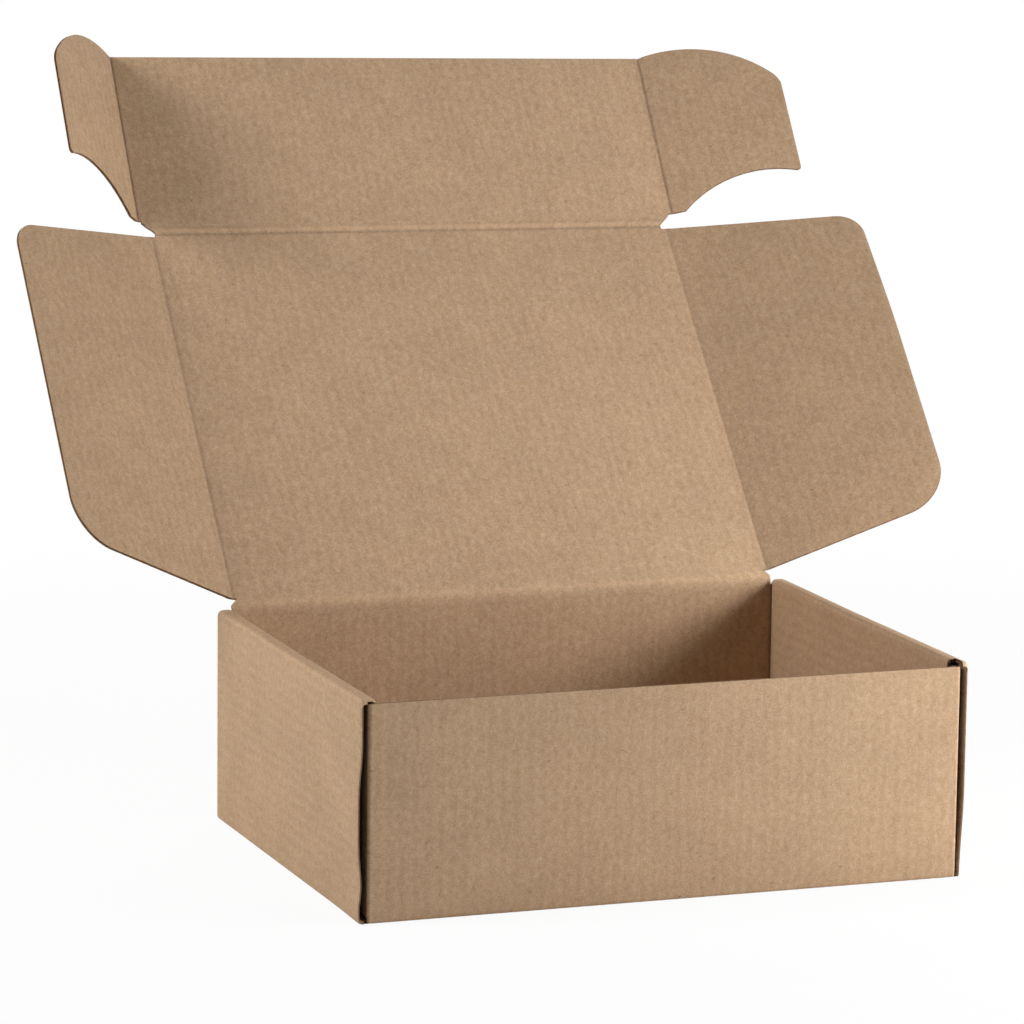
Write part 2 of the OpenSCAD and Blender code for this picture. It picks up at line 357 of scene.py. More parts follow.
def paper_group():
    """Shared shader group: kraft colour, roughness and height over a panel's own flute and run."""
    name = "Kraft fibres"
    if name in bpy.data.node_groups:
        return bpy.data.node_groups[name]
    tree = bpy.data.node_groups.new(name, "ShaderNodeTree")
    add_sockets(tree, "INPUT", "NodeSocketColor", "Colour")
    add_sockets(tree, "INPUT", "NodeSocketFloat", "Mottle", "Grain", "Specks", "Fibres", "Stripe", "Pitch")
    add_sockets(tree, "OUTPUT", "NodeSocketColor", "Colour")
    add_sockets(tree, "OUTPUT", "NodeSocketFloat", "Roughness", "Height")
    wire = Wiring(tree)
    given = wire.node("NodeGroupInput").outputs

    def attribute(label):
        return wire.node("ShaderNodeAttribute", attribute_name=label).outputs["Fac"]

    layer = attribute("layer")
    place = wire.node("ShaderNodeCombineXYZ", {
        "X": wire.times(attribute("flute"), 1.0 / MM), "Y": wire.times(attribute("run"), 1.0 / MM),
        "Z": wire.times(layer, LAYER_SPACING)}).outputs[0]

    def noise(kind):
        moved = wire.node("ShaderNodeMapping", {"Vector": place, "Scale": kind.stretch}).outputs[0]
        return wire.node("ShaderNodeTexNoise", {"Vector": moved, "Scale": kind.scale, "Detail": kind.detail,
                                                "Roughness": NOISE_ROUGHNESS}).outputs["Fac"]

    def flecks(kind):
        turned = wire.node("ShaderNodeMapping", {"Vector": place, "Rotation": (0.0, 0.0, kind.turn)})
        moved = wire.node("ShaderNodeMapping", {"Vector": turned.outputs[0], "Scale": kind.stretch})
        cells = wire.node("ShaderNodeTexVoronoi", {"Vector": moved.outputs[0], "Scale": kind.scale})
        chosen = wire.node("ShaderNodeSeparateColor", {"Color": cells.outputs["Color"]}).outputs
        size = wire.times(chosen["Green"], kind.radius)
        picked = wire.math("LESS_THAN", chosen["Red"], kind.share)
        inside = wire.minus(size, cells.outputs["Distance"])
        return wire.times(picked, wire.ramp(inside, 0.0, kind.radius * FLECK_EDGE))

    def swing(value, strength):
        return wire.times(wire.minus(value, 0.5), strength)

    patch, grain, pale = noise(PATCHES), noise(GRAIN), flecks(PALE_FIBRES)
    slivers = wire.math("MAXIMUM", *(flecks(kind) for kind in SLIVERS))
    # Stripes along the flutes: partly faint lines in the paper over the flutes, partly painted shade of the
    # liner's sag between them
    turn = wire.times(wire.math("DIVIDE", attribute("flute"), given["Pitch"]), math.tau)
    wander = wire.times(swing(noise(FLUTE_WANDER), 1.0), WANDER_SWING)
    ridge = wire.times(wire.math("SINE", wire.plus(turn, wander)), noise(FLUTE_BREAKS))
    in_slit = wire.math("LESS_THAN", layer, (INSIDE_LAYER + OUTSIDE_LAYER) / 2)
    shade = 1.0
    for lighter in (swing(noise(CLOUDS), given["Mottle"]),
                    swing(patch, wire.times(given["Mottle"], PATCH_SHARE)),
                    swing(grain, given["Grain"]),
                    wire.times(ridge, given["Stripe"]),
                    # Pale wear at folds and cut ends, with painted highlights along the creases; negative
                    # values paint shade inside the slits
                    wire.times(attribute("wear"), PALE_WEAR_AND_LIGHT),
                    wire.times(pale, given["Fibres"])):
        shade = wire.plus(shade, lighter)
    # Painted shade along the creases, with some darkening of the pressed scores themselves
    for darker in (wire.times(attribute("crease"), CREASE_PAINTED_SHADE),
                   # Painted shade: the inside liner of a board with a slit value is darkened, for faces seen
                   # only down the slits
                   wire.times(attribute("slit"), in_slit),
                   wire.times(flecks(DUST), wire.times(given["Specks"], DUST_SHARE)),
                   wire.times(slivers, wire.times(given["Specks"], SLIVER_SHARE)),
                   wire.times(flecks(CHIPS), given["Specks"])):
        shade = wire.minus(shade, darker)
    shaded = wire.node("ShaderNodeVectorMath", {0: given["Colour"], "Scale": shade}, operation="SCALE")
    warm = wire.node("ShaderNodeHueSaturation", {"Color": shaded.outputs[0],
                                                 "Saturation": wire.plus(1.0, swing(patch, PATCH_WARMTH))})
    rough = wire.math("ADD", PAPER_ROUGHNESS, swing(patch, ROUGHNESS_SWING), clamp=True)
    height = wire.plus(wire.times(grain, GRAIN_HEIGHT), wire.times(pale, FIBRE_HEIGHT))
    wire.node("NodeGroupOutput", {"Colour": warm.outputs[0], "Roughness": rough, "Height": height})
    return tree


def paper_material(name, colour, settings, strength, bump):
    """Matt kraft paper in one colour; strength scales its mottle, grain, specks and fibres."""
    material = bpy.data.materials.get(name)
    if material:
        return material
    material = bpy.data.materials.new(name)
    wire = fresh_wiring(material)
    fibres = wire.node("ShaderNodeGroup", node_tree=paper_group())
    fibres.inputs["Colour"].default_value = (*colour, 1.0)
    fibres.inputs["Pitch"].default_value = bpy.context.scene.mailer_board.pitch
    for label in ("Mottle", "Grain", "Specks", "Fibres", "Stripe"):
        fibres.inputs[label].default_value = getattr(settings, label.lower()) * strength
    relief = wire.node("ShaderNodeBump", {"Strength": bump, "Distance": BUMP_DEPTH,
                                          "Height": fibres.outputs["Height"]})
    shader = wire.node("ShaderNodeBsdfPrincipled", {
        "Base Color": fibres.outputs["Colour"], "Roughness": fibres.outputs["Roughness"],
        "Normal": relief.outputs[0], "Specular IOR Level": PAPER_SPECULAR})
    wire.node("ShaderNodeOutputMaterial", {"Surface": shader.outputs[0]})
    material.diffuse_color = (*colour, 1.0)
    return material


def papers(context):
    """Materials of the liners' inside and outside, the fluting and the cut edges."""
    paper = context.scene.mailer_paper
    finishes = (("liner_inside", paper.liner, LINER_FINISH), ("liner_outside", paper.liner, LINER_FINISH),
                ("fluting", paper.fluting, FLUTING_FINISH), ("cut_edge", paper.cut, CUT_FINISH))
    return [paper_material(name, colour, paper, *finish) for name, colour, finish in finishes]


# Corrugated board

PAPER_SOCKETS = ("Inside paper", "Outside paper", "Fluting paper", "Cut paper")
WELD = 0.001 * MM
BOARD_SMOOTH, CREASE_SMOOTH = math.radians(38.0), math.radians(50.0)


def board_tree():
    """Geometry nodes that turn a panel's middle surface into two liners with a wave between them."""
    name = "Corrugated board"
    if name in bpy.data.node_groups:
        return bpy.data.node_groups[name]
    tree = bpy.data.node_groups.new(name, "GeometryNodeTree")
    add_sockets(tree, "INPUT", "NodeSocketGeometry", "Panel")
    add_sockets(tree, "INPUT", "NodeSocketFloat", "Thickness", "Pitch", "Liner", "Fluting", "Washboard")
    add_sockets(tree, "INPUT", "NodeSocketMaterial", *PAPER_SOCKETS)
    add_sockets(tree, "OUTPUT", "NodeSocketGeometry", "Board")
    wire = Wiring(tree)
    given = wire.node("NodeGroupInput").outputs
    normal = wire.node("GeometryNodeInputNormal").outputs["Normal"]

    def attribute(label):
        return wire.node("GeometryNodeInputNamedAttribute", {"Name": label},
                         data_type="FLOAT").outputs["Attribute"]

    def paper_layer(offset, thickness, turned, paper, number):
        moved = wire.node("ShaderNodeVectorMath", {0: normal, "Scale": offset}, operation="SCALE")
        face = wire.node("GeometryNodeSetPosition", {"Geometry": given["Panel"], "Offset": moved.outputs[0]})
        face = face.outputs["Geometry"]
        back = wire.node("GeometryNodeFlipFaces", {"Mesh": face}).outputs["Mesh"]
        if turned:
            face, back = back, face
        grown = wire.node("GeometryNodeExtrudeMesh", {"Mesh": face, "Offset Scale": thickness,
                                                      "Individual": False}, mode="FACES")
        cut = wire.node("GeometryNodeStoreNamedAttribute", {
            "Geometry": grown.outputs["Mesh"], "Selection": grown.outputs["Side"], "Name": "cut",
            "Value": 1.0}, data_type="FLOAT", domain="FACE").outputs[0]
        joined = wire.node("GeometryNodeJoinGeometry")
        for part in (cut, back):
            tree.links.new(part, joined.inputs[0])
        welded = wire.node("GeometryNodeMergeByDistance", {"Geometry": joined.outputs[0],
                                                           "Distance": WELD})
        marked = wire.node("GeometryNodeStoreNamedAttribute", {
            "Geometry": welded.outputs[0], "Name": "layer", "Value": float(number)},
            data_type="FLOAT", domain="POINT")
        return wire.node("GeometryNodeSetMaterial", {"Geometry": marked.outputs[0],
                                                     "Material": paper}).outputs[0]

    turn = wire.times(wire.math("DIVIDE", attribute("flute"), given["Pitch"]), math.tau)
    wave = wire.math("SINE", turn)
    half = wire.times(given["Thickness"], wire.times(attribute("crush"), 0.5))
    core = wire.minus(half, given["Liner"])
    sag = wire.times(given["Washboard"], 0.5)
    inner = wire.minus(core, wire.times(sag, wire.minus(1.0, wave)))
    outer = wire.minus(wire.times(sag, wire.plus(1.0, wave)), core)
    half_wave = wire.times(given["Fluting"], 0.5)
    middle_wave = wire.minus(wire.times(wave, wire.minus(core, half_wave)), half_wave)
    layers = wire.node("GeometryNodeJoinGeometry")
    for part in (paper_layer(inner, given["Liner"], False, given["Inside paper"], INSIDE_LAYER),
                 paper_layer(outer, given["Liner"], True, given["Outside paper"], OUTSIDE_LAYER),
                 paper_layer(middle_wave, given["Fluting"], False, given["Fluting paper"], FLUTING_LAYER)):
        tree.links.new(part, layers.inputs[0])
    plain = wire.node("GeometryNodeRealizeInstances", {"Geometry": layers.outputs[0]})
    edges = wire.math("GREATER_THAN", attribute("cut"), 0.5)
    finished = wire.node("GeometryNodeSetMaterial", {"Geometry": plain.outputs[0], "Selection": edges,
                                                     "Material": given["Cut paper"]})
    wire.node("NodeGroupOutput", {"Board": finished.outputs[0]})
    return tree


def store(mesh, values):
    """Named values for each point of a mesh."""
    for label, value in values.items():
        layer = mesh.attributes.new(label, "FLOAT", "POINT")
        layer.data.foreach_set("value", value.reshape(-1).astype(np.float32))


class Blank:
    """Middle surfaces of panels, gathered as one mesh with their flute and run distances."""

    def __init__(self):
        self.points, self.quads = [], []
        # Besides pale wear, the wear values hold painted highlights and painted shade; slit values hold
        # painted shade for faces seen down the slits
        self.values = {"flute": [], "run": [], "crush": [], "wear": [], "slit": []}

    def add(self, points, flute, run, inside, keep=None, crush=1.0, wear=0.0, slit=0.0):
        """A grid of points (columns, rows, 3); inside points to the face that looks into the box."""
        columns, rows = points.shape[:2]
        index = np.arange(columns * rows).reshape(columns, rows)
        quads = np.stack([index[:-1, :-1], index[1:, :-1], index[1:, 1:], index[:-1, 1:]], axis=-1)
        kept = np.ones((columns - 1, rows - 1), bool) if keep is None else keep
        first = tuple(np.argwhere(kept)[0])
        corner = points[first]
        facing = np.cross(points[first[0] + 1, first[1]] - corner, points[first[0], first[1] + 1] - corner)
        toward = np.broadcast_to(inside, points.shape)[first]
        quads = quads[kept]
        if facing @ toward < 0:
            quads = quads[:, ::-1]
        used, quads = np.unique(quads, return_inverse=True)
        start = sum(len(part) for part in self.points)
        self.points.append(points.reshape(-1, 3)[used])
        self.quads.append(quads.reshape(-1, 4) + start)
        for label, value in (("flute", flute), ("run", run), ("crush", crush), ("wear", wear),
                             ("slit", slit)):
            self.values[label].append(np.broadcast_to(value, (columns, rows)).reshape(-1)[used])

    def mesh(self, name):
        mesh = bpy.data.meshes.new(name)
        mesh.from_pydata(np.concatenate(self.points).tolist(), [], np.concatenate(self.quads).tolist())
        store(mesh, {label: np.concatenate(parts) for label, parts in self.values.items()})
        mesh.update()
        return mesh


def placed(context, name, data):
    """New object that holds the data, linked to the scene."""
    thing = bpy.data.objects.new(name, data)
    context.collection.objects.link(thing)
    return thing


def smooth_piece(context, name, mesh, angle):
    """Placed piece, smooth but for the edges sharper than an angle."""
    mesh.shade_smooth()
    mesh.set_sharp_from_angle(angle=angle)
    piece = placed(context, name, mesh)
    return piece


def board_piece(context, name, blank, node):
    """Runs the board nodes on a blank and puts the plain mesh in the place of a node of the frame."""
    board = context.scene.mailer_board
    raw = placed(context, name + "_blank", blank.mesh(name + "_blank"))
    tree = board_tree()
    modifier = raw.modifiers.new("Board", "NODES")
    modifier.node_group = tree
    values = dict(zip(PAPER_SOCKETS, papers(context)))
    for label in ("Thickness", "Pitch", "Liner", "Fluting", "Washboard"):
        values[label] = getattr(board, label.lower())
    for socket in tree.interface.items_tree:
        if socket.in_out == "INPUT" and socket.name in values:
            modifier[socket.identifier] = values[socket.name]
    depsgraph = context.evaluated_depsgraph_get()
    mesh = bpy.data.meshes.new_from_object(raw.evaluated_get(depsgraph), preserve_all_data_layers=True,
                                           depsgraph=depsgraph)
    mesh.name = name
    bpy.data.objects.remove(raw)
    piece = smooth_piece(context, name, mesh, BOARD_SMOOTH)
    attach(piece, node)
    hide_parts(node)


# Lines across and along a panel

TINY = 1e-6
EDGE_ROWS = (0.35, 0.8, 1.5)
FOLD_STEPS = 6
FOLD_WEAR, ROLL_WEAR = 0.5, 0.55
PANEL_ROW, BASE_ROW, SIDE_ROW, EAR_ROW = 20 * MM, 40 * MM, 6 * MM, 15 * MM


def lines(start, end, step, marks=()):
    """Rising values from start to end, no more than a step apart, with a line at every mark."""
    stops = sorted({start, end, *(mark for mark in marks if start < mark < end)})
    values = []
    for low, high in zip(stops, stops[1:]):
        count = max(1, math.ceil((high - low) / step - TINY))
        values.extend(low + (high - low) * i / count for i in range(count))
    return np.array(values + [end])


def edge_marks(board, *edges):
    """Extra lines beside cut edges, given as (place, direction into the panel)."""
    return [place + toward * board.crush_width * share for place, toward in edges
            for share in EDGE_ROWS]


def crushed(board, distance, share=None):
    """Share of the board's thickness left at a distance from a cut edge."""
    lost = board.crush if share is None else share
    return 1.0 - lost * np.exp(-(np.maximum(distance, 0.0) / board.crush_width) ** 2)


def folded_path(corners, radius, step, marks):
    """Line through corners with round right-angled folds: points, distance along and fold share."""
    corners = [np.array(corner, float) for corner in corners]
    points, folds = [], []
    for k, (a, b) in enumerate(zip(corners, corners[1:])):
        length = np.linalg.norm(b - a)
        way = (b - a) / length
        low = radius if k else 0.0
        high = length - radius if k < len(corners) - 2 else length
        for value in lines(low, high, step[k], marks[k]) if high > low else [low]:
            points.append(a + way * value)
            folds.append(0.0)
        if k < len(corners) - 2:
            turn = (corners[k + 2] - b) / np.linalg.norm(corners[k + 2] - b)
            centre = b - way * radius + turn * radius
            for i in range(1, FOLD_STEPS):
                angle = math.pi / 2 * i / FOLD_STEPS
                points.append(centre + radius * (way * math.sin(angle) - turn * math.cos(angle)))
                folds.append(math.sin(2 * angle))
    points = np.array(points)
    distance = np.concatenate([[0.0], np.cumsum(np.linalg.norm(np.diff(points, axis=0), axis=1))])
    return points, distance, np.array(folds)


def edge_distance(run, low, high, to_end):
    """Distance from the nearest of a panel's two long edges and its free end."""
    return np.minimum(np.minimum(run - low[:, None], high[:, None] - run), to_end)


def corner_drop(distance, radius):
    """Fall of a rounded corner at a distance from the end of an edge."""
    past = np.clip(radius - distance, 0.0, radius)
    return radius - np.sqrt(radius ** 2 - past ** 2)


def middle(values):
    return (values[:-1] + values[1:]) / 2


# Operators for the tray; the left wall's bow is placed by shares of the wall's height

TAB_CLEAR = 0.2 * MM
WALL_CORNER_POINTS = 7
BELLY_AT, BELLY_HALF = 0.46, 0.24
FOOT_AT, FOOT_HALF, FOOT_SHARE = 0.06, 0.08, 0.8
FLAP_ROW, FLAP_EDGE_ROWS = 0.25, (0.004, 0.008, 0.015, 0.985, 0.992, 0.996)


def corner_flap_at(board, tray):
    """Distance of a trapped corner flap's middle from the middle of the box."""
    return TRAY_HIGH.x - 2 * tray.ply_step - board.thickness / 2


class MAILER_OT_tray_walls(Operator):
    """Front wall, base and back wall, folded from one strip of board"""
    bl_idname = "mailer.tray_walls"
    bl_label = "Tray walls"

    def execute(self, context):
        board, tray = context.scene.mailer_board, context.scene.mailer_tray
        crease = context.scene.mailer_crease
        half_board = board.thickness / 2
        front, back = TRAY_LOW.y + half_board, TRAY_HIGH.y - half_board
        wall_top = TRAY_HIGH.z - tray.front_drop
        wall_half = corner_flap_at(board, tray) - tray.corner_fold
        base_half = TRAY_HIGH.x - 3 * tray.ply_step - board.thickness - tray.slot_gap
        hinge_half = LID_HALF - crease.side_reach + crease.hinge_ends
        hinge_low = HINGE[2] - crease.hinge_reach
        corners = [(front, wall_top), (front, half_board), (back, half_board), (back, wall_top)]
        marks = [edge_marks(board, (0.0, 1)), [], [hinge_low - half_board]]
        path, along, fold = folded_path(corners, tray.fold, (PANEL_ROW, BASE_ROW, PANEL_ROW), marks)
        stops = (-base_half, base_half, -hinge_half, hinge_half)
        across = lines(tray.seam - wall_half, wall_half - tray.seam, board.pitch / board.columns, stops)
        x, y = np.meshgrid(across, path[:, 0], indexing="ij")
        z = np.broadcast_to(path[:, 1], x.shape)
        points = np.stack([x, y, z], axis=-1)
        on_base = (np.abs(middle(path[:, 0])) < back - tray.fold + TINY) & (middle(path[:, 1]) < tray.fold)
        on_hinge = (middle(path[:, 0]) > 0.0) & (middle(path[:, 1]) > hinge_low)
        keep = ~(on_base[None, :] & (np.abs(middle(across)) > base_half)[:, None])
        keep &= ~(on_hinge[None, :] & (np.abs(middle(across)) < hinge_half)[:, None])
        crush = np.broadcast_to(crushed(board, along), x.shape)
        inside = np.zeros(points.shape)
        inside[..., 1] = -np.sign(y) * (z > tray.fold + half_board)
        inside[..., 2] = z <= tray.fold + half_board
        blank = Blank()
        blank.add(points, x, along[None, :], inside, keep, crush, FOLD_WEAR * fold[None, :])
        board_piece(context, "tray_walls", blank, "tray")
        return {"FINISHED"}


def eased(value):
    """Smooth step from 0 to 1."""
    value = np.clip(value, 0.0, 1.0)
    return value * value * (3.0 - 2.0 * value)


def bend_wall(tray, side, x, y, z, outer):
    """Handled shape of a rolled wall: rounded top corners, and a front end that stands off its flap."""
    from_front, from_back = y - TRAY_LOW.y, TRAY_HIGH.y - y
    near_top = eased(1.0 - (TRAY_HIGH.z - z) / tray.round_reach)
    fall = corner_drop(from_back, tray.back_round) + corner_drop(from_front, tray.front_round)
    rise = tray.back_rise * eased(1.0 - from_back / tray.rise_reach) * z / TRAY_HIGH.z
    at_outer = np.clip(1.0 - (outer - x) / tray.ply_step, 0.0, 1.0)
    near_front = np.exp(-(from_front / tray.bow_reach) ** 2)
    if side < 0:
        level = z / TRAY_HIGH.z
        belly = np.exp(-((level - BELLY_AT) / BELLY_HALF) ** 4)
        foot = np.exp(-((level - FOOT_AT) / FOOT_HALF) ** 2)
        push = tray.bow * (belly + FOOT_SHARE * foot)
    else:
        push = -tray.lean * (1.0 - eased(z / tray.lean_height))
    return x + push * at_outer * near_front, z - fall * near_top + rise


class MAILER_OT_tray_sides(Operator):
    """Rolled side walls, with their lock tabs and the slots that take them"""
    bl_idname = "mailer.tray_sides"
    bl_label = "Rolled side walls"

    def execute(self, context):
        board, tray = context.scene.mailer_board, context.scene.mailer_tray
        half_board = board.thickness / 2
        outer = TRAY_HIGH.x - half_board
        inner = outer - 3 * tray.ply_step
        start = inner - half_board - tray.slot_gap
        slot_end = inner + half_board + tray.slot_gap
        top = TRAY_HIGH.z - half_board
        floor, tab_low = board.thickness + TAB_CLEAR, TAB_CLEAR
        corners = [(start, half_board), (outer, half_board), (outer, top), (inner, top), (inner, tab_low)]
        fine = board.pitch / board.columns
        marks = [[slot_end - start], [], [], [top - floor]]
        path, distance, fold = folded_path(corners, tray.fold, (fine,) * 4, marks)
        end = TRAY_HIGH.y
        ply_end, wall_fold = end - tray.ply_inset, end - half_board - tray.fold
        tab_at, tab_half = tray.tab_pitch / 2, tray.tab_length / 2
        slot_half = tab_half + tray.slot_gap
        stops = [side * (tab_at + way * size) for side in (-1, 1) for way in (-1, 1)
                 for size in (tab_half, slot_half)]
        stops += [side * stop for side in (-1, 1) for stop in (ply_end, wall_fold)]
        stops += edge_marks(board, (-end, 1), (end, -1))
        turns = 1 - np.cos(np.linspace(0.0, math.pi / 2, WALL_CORNER_POINTS))
        cuts = {"left": tray.left_cut, "right": tray.right_cut}
        stops += [*(end - tray.back_round * turns), *(tray.front_round * turns - end)]
        stops += [length - end for length in cuts.values()]
        along = lines(-end, end, SIDE_ROW, stops)
        s_mid, y_mid = middle(distance), middle(along)
        x_mid, z_mid = middle(path[:, 0]), middle(path[:, 1])
        on_base = (s_mid < outer - tray.fold - start + TINY)
        on_inner = (s_mid > distance[-1] / 2) & (z_mid < top - tray.fold + TINY)
        near_tab = np.abs(np.abs(y_mid) - tab_at)
        drop = on_base[:, None] & (np.abs(y_mid) > wall_fold)[None, :]
        drop |= (on_base & (x_mid < slot_end))[:, None] & (near_tab < slot_half)[None, :]
        drop |= on_inner[:, None] & (np.abs(y_mid) > ply_end)[None, :]
        drop |= (on_inner & (z_mid < floor))[:, None] & (near_tab > tab_half)[None, :]
        rolled = (s_mid > distance[-1] / 2 - (outer - inner) / 2) & (x_mid < outer - tray.ply_step)
        for name, side in SIDES.items():
            x, y = np.meshgrid(path[:, 0], along, indexing="ij")
            z = np.broadcast_to(path[:, 1][:, None], x.shape)
            bent = bend_wall(tray, side, x, y, z, outer)
            points = np.stack([side * bent[0], y, bent[1]], axis=-1)
            inside = np.zeros(points.shape)
            inside[..., 2] = 1.0
            crush = crushed(board, end - np.abs(y), tray.end_crush)
            pale = np.exp(-((end - np.abs(y)) / board.crush_width) ** 2)
            flute = start + distance[:, None] + 0.0 * y
            cut = rolled[:, None] & (y_mid < cuts[name] - end)[None, :]
            blank = Blank()
            wear = np.maximum(ROLL_WEAR * fold[:, None], pale)
            # The faces inside the roll take the slits' painted shade
            blank.add(points, flute, y, inside, ~(drop | cut), crush, wear, tray.wall_slit_painted_shade)
            board_piece(context, "side_wall_" + name, blank, "tray")
        return {"FINISHED"}


class MAILER_OT_corner_flaps(Operator):
    """Corner flaps on the ends of the front and back walls, trapped in the side walls"""
    bl_idname = "mailer.corner_flaps"
    bl_label = "Corner flaps"

    def execute(self, context):
        board, tray = context.scene.mailer_board, context.scene.mailer_tray
        half_board = board.thickness / 2
        at = corner_flap_at(board, tray)
        wall_half = at - tray.corner_fold
        face = TRAY_LOW.y + half_board
        free = TRAY_LOW.y + tray.flap_length
        wall_top = TRAY_HIGH.z - tray.front_drop
        fine = board.pitch / board.columns
        marks = [[], edge_marks(board, (free - face, -1))]
        begin = wall_half - tray.seam
        path, distance, fold = folded_path([(begin, face), (at, face), (at, free)], tray.corner_fold,
                                           (fine, fine), marks)
        taper = tray.flap_taper * np.clip((path[:, 1] - TRAY_LOW.y) / tray.flap_length, 0.0, 1.0)
        risen = eased((path[:, 1] - face) / tray.fold)
        # Painted shade: past its fold the corner flap, seen only down the slit, is darkened; the fold itself
        # keeps its pale wear
        shaded_in_slit = eased((distance - tray.seam - tray.corner_fold / 2) / tray.fold)
        wear = (FOLD_WEAR * fold * (1.0 - shaded_in_slit) - tray.flap_slit_painted_shade * shaded_in_slit)[:, None]
        low = tray.flap_low + (tray.flap_lift - tray.flap_low) * risen + taper
        high = wall_top - taper
        share = lines(0.0, 1.0, FLAP_ROW, FLAP_EDGE_ROWS)
        z = low[:, None] + (high - low)[:, None] * share[None, :]
        blank = Blank()
        for side in SIDES.values():
            for end in (-1, 1):
                points = np.stack([side * path[:, 0][:, None] + 0 * z, -end * path[:, 1][:, None] + 0 * z, z],
                                  axis=-1)
                inside = np.zeros(points.shape)
                inside[..., 1] = end
                edge = edge_distance(z, low, high, (distance[-1] - distance)[:, None])
                flute = side * (begin + distance)[:, None]
                blank.add(points, flute, z, inside, None, crushed(board, edge), wear)
        board_piece(context, "corner_flaps", blank, "tray")
        return {"FINISHED"}


# Operators for the lid and its flaps

SIDE_FLAP_ROWS, FRONT_FLAP_ROWS, EAR_ROWS = 10, 6, 8
FLAP_CORNER_POINTS, EAR_CORNER_POINTS = 24, 9


def panel_grid(plane, across, low, high, shares):
    """Grid of a flat panel whose columns run from low to high at each place across."""
    run = low[:, None] + (high - low)[:, None] * shares[None, :]
    out = np.broadcast_to(across[:, None], run.shape)
    return on_plane(plane, out, run), out, run


def row_shares(board, length, rows, cut_low=True):
    """Row places from 0 to 1 along a panel, with extra rows beside its cut ends."""
    marks = edge_marks(board, (length, -1))
    if cut_low:
        marks += edge_marks(board, (0.0, 1))
    return lines(0.0, length, length / rows, marks) / length


class MAILER_OT_lid(Operator):
    """Lid panel between its four creases"""
    bl_idname = "mailer.lid"
    bl_label = "Lid"

    def execute(self, context):
        board, flaps = context.scene.mailer_board, context.scene.mailer_flaps
        crease = context.scene.mailer_crease
        half = LID_HALF - crease.side_reach
        across = lines(-half, half, board.pitch / board.columns)
        run = lines(crease.hinge_reach, LID_LENGTH - crease.front_reach, PANEL_ROW)
        x, u = np.meshgrid(across, run, indexing="ij")
        blank = Blank()
        blank.add(warped(on_plane(LID_PLANE, x, u), flaps.warp), x, u, LID_IN)
        board_piece(context, "lid_panel", blank, "lid")
        return {"FINISHED"}


def rounded_edge(end, corner, rounding, way):
    """Slanted edge from the crease, rounded into the free edge: distances out and along."""
    slant = np.array([corner[0], corner[1] - end])
    slant = slant / np.linalg.norm(slant)
    turn = math.acos(np.clip(slant[1] * way, -1.0, 1.0))
    reach = rounding * math.tan(turn / 2)
    first = np.array(corner) - slant * reach
    centre = np.array([corner[0] - rounding, corner[1] + way * reach])
    begin = first - centre
    angles = np.linspace(0.0, turn, FLAP_CORNER_POINTS) * way
    cos, sin = np.cos(angles), np.sin(angles)
    arc = np.stack([begin[0] * cos - begin[1] * sin, begin[0] * sin + begin[1] * cos], axis=-1) + centre
    return np.vstack([[0.0, end], arc])


class MAILER_OT_side_flaps(Operator):
    """Wide rounded flaps on the lid's sides"""
    bl_idname = "mailer.side_flaps"
    bl_label = "Side flaps"

    def execute(self, context):
        board, flaps = context.scene.mailer_board, context.scene.mailer_flaps
        crease = context.scene.mailer_crease
        width = flaps.side_width
        front = LID_LENGTH - flaps.side_end
        back_edge = rounded_edge(flaps.side_start, (width, flaps.side_start + flaps.back_taper),
                                 flaps.back_round, 1)
        front_edge = rounded_edge(front, (width, front - flaps.front_taper), flaps.front_round, -1)
        corner_lines = [*back_edge[1:, 0], *front_edge[1:, 0]]
        across = lines(crease.side_reach, width, board.pitch / board.columns,
                       corner_lines + edge_marks(board, (width, -1)))
        low = np.interp(across, back_edge[:, 0], back_edge[:, 1])
        high = np.interp(across, front_edge[:, 0], front_edge[:, 1])
        shares = row_shares(board, front - flaps.side_start, SIDE_FLAP_ROWS)
        for name, side in SIDES.items():
            plane = side_plane("side_flap_" + name + "_crease", side, LID_RUN, LID_IN)
            points, out, run = panel_grid(plane, across, low, high, shares)
            edge = edge_distance(run, low, high, width - out)
            lift = warped(points, flaps.warp) - points
            if side > 0:
                settled = 1.0 - eased((run - flaps.settle_start) / flaps.settle_fade)
                lift = lift * (1.0 - settled * np.minimum(flaps.settle_rate * out / width, 1.0))[..., None]
            blank = Blank()
            blank.add(points + lift, LID_HALF + out, run, plane.inside, None, crushed(board, edge))
            board_piece(context, "side_flap_panel_" + name, blank, "side_flap_" + name)
        return {"FINISHED"}


class MAILER_OT_front_flap(Operator):
    """Front flap between its crease and its two ears"""
    bl_idname = "mailer.front_flap"
    bl_label = "Front flap"

    def execute(self, context):
        board, flaps = context.scene.mailer_board, context.scene.mailer_flaps
        crease = context.scene.mailer_crease
        half = FRONT_HALF - crease.ear_reach
        root = LID_HALF - crease.side_reach
        across = lines(-half, half, board.pitch / board.columns, (-root, root))
        slope = flaps.shoulder / (FRONT_HALF - flaps.ear_gap - root)
        low = np.maximum(crease.front_reach, (np.abs(across) - root) * slope)
        high = np.full(across.shape, flaps.front_length)
        shares = row_shares(board, flaps.front_length, FRONT_FLAP_ROWS, cut_low=False)
        points, out, run = panel_grid(FRONT_PLANE, across, low, high, shares)
        blank = Blank()
        points = warped(points, flaps.warp)
        blank.add(points, out, run, FRONT_IN, None, crushed(board, flaps.front_length - run))
        board_piece(context, "front_flap_panel", blank, "front_flap")
        return {"FINISHED"}


